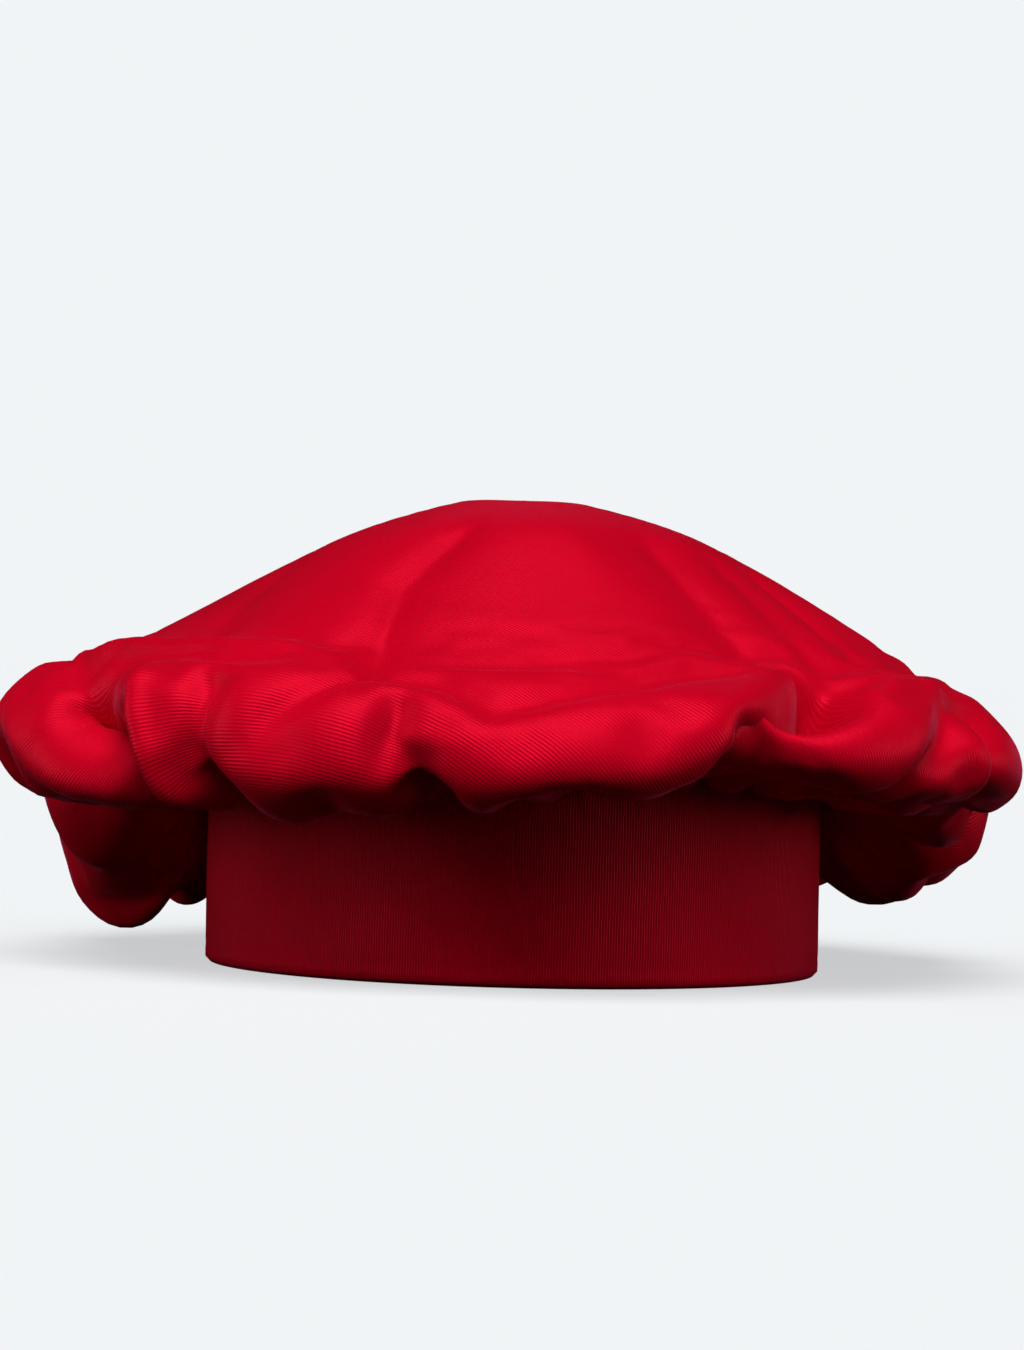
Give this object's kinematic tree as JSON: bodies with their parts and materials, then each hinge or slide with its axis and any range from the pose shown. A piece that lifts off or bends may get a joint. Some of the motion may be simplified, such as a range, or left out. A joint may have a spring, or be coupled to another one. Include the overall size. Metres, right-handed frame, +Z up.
{
  "type": "chef toque",
  "caption": "Soft chef toque: a wide gathered satin crown that overhangs a stiff ribbed head band, lined, with a sweatband and sewn labels.",
  "frame": {"origin": "centre of the head opening on the band's bottom edge", "axes": "+Z up out of the top of the crown, -Y the front, +X to the side on the right when seen from the front"},
  "size_m": [0.3122, 0.3123, 0.1465],
  "materials": {
    "crown_satin": "soft red satin with a fine rib in the weave",
    "band_satin": "red satin, pressed into fine upright ribs",
    "buckram": "stiff open-weave cotton buckram",
    "ribbon": "matt grosgrain ribbon, dark red",
    "lining": "thin dark red lining cloth",
    "thread": "red polyester thread",
    "label_thread": "off-white polyester thread",
    "label_tape": "plain off-white woven tape, no print"
  },
  "bodies": {
    "band": {"band_cover": "band_satin", "band_stiffener": "buckram", "sweatband": "ribbon", "crown_seam_stitches": "thread", "lining_seam_stitches": "thread", "sweatband_stitches": "thread", "back_seam_stitches": "thread", "size_label": "label_tape", "size_label_stitches": "label_thread"},
    "crown": {"crown_cover": "crown_satin", "crown_lining": "lining"},
    "care_label": {"care_label": "label_tape"}
  },
  "joints": [
    {"name": "crown_press", "type": "slide", "parent": "band", "child": "crown", "axis": [0, 0, -1], "range_m": [0, 0.045], "stiffness_N_per_m": 150, "springref_m": -0.01, "deforming": ["crown_cover", "crown_lining"]},
    {"name": "care_label_flip", "type": "hinge", "parent": "band", "child": "care_label", "pos_m": [-0.07962, 0.04597, 0.058], "axis": [-0.5, -0.866, 0], "range_deg": [0, 120]}
  ]
}
